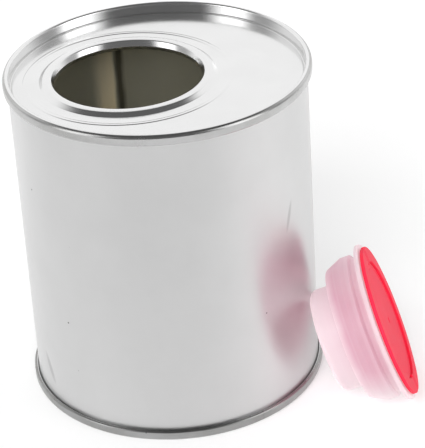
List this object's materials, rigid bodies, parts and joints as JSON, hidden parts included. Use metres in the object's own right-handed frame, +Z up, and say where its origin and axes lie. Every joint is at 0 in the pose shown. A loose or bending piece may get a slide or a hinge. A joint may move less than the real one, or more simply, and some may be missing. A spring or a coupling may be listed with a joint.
{
  "type": "paint can with pouring closure",
  "caption": "Round tinplate paint can with an off-centre pouring neck, and its push-in pull-out spout closure with a screw cap lying beside it.",
  "frame": {"origin": "centre of the can's base, on the surface it stands on", "axes": "+Z up through the can, +X towards the closure, -X towards the off-centre neck"},
  "size_m": [0.1121, 0.0888, 0.0971],
  "materials": {
    "tinplate": "bright tinplate outside, gold lacquer inside the body",
    "compound": "matt",
    "milky_polyethylene": "translucent satin",
    "red_polyethylene": "satin",
    "liner_foam": "foamed sheet"
  },
  "bodies": {
    "can": {"can_body": "tinplate", "top_end": "tinplate", "bottom_end": "tinplate", "top_seam_compound": "compound", "bottom_seam_compound": "compound"},
    "closure": {"spout_shell": "milky_polyethylene"},
    "spout": {"spout_bellows": "milky_polyethylene", "spout_neck": "milky_polyethylene", "neck_seal": "milky_polyethylene"},
    "liner": {"cap_liner": "liner_foam"},
    "cap": {"screw_cap": "red_polyethylene"},
    "bail_left": {"cap_bail_left": "red_polyethylene"},
    "bail_right": {"cap_bail_right": "red_polyethylene"}
  },
  "joints": [
    {"name": "closure_away", "type": "slide", "parent": "can", "child": "closure", "axis": [0.94, -0.0328, 0.3396], "range_m": [0, 0.06]},
    {"name": "spout_pull", "type": "slide", "parent": "closure", "child": "spout", "axis": [0.94, -0.0328, 0.3396], "range_m": [0, 0.014]},
    {"name": "cap_rise", "type": "slide", "parent": "spout", "child": "liner", "axis": [0.94, -0.0328, 0.3396], "range_m": [0, 0.00376]},
    {"name": "cap_unscrew", "type": "hinge", "parent": "liner", "child": "cap", "pos_m": [0.05925, -0.02245, 0.02192], "axis": [0.94, -0.0328, 0.3396], "range_deg": [0, 450]},
    {"name": "bail_left_fold", "type": "hinge", "parent": "cap", "child": "bail_left", "pos_m": [0.06087, -0.02391, 0.02309], "axis": [-0.3044, 0.3692, 0.8781], "range_deg": [0, 90]},
    {"name": "bail_right_fold", "type": "hinge", "parent": "cap", "child": "bail_right", "pos_m": [0.06134, -0.02112, 0.02208], "axis": [0.3044, -0.3692, -0.8781], "range_deg": [0, 90]}
  ],
  "couplings": [
    {"joint": "cap_rise", "follows": "cap_unscrew", "m_per_rad": 0.00047746}
  ]
}
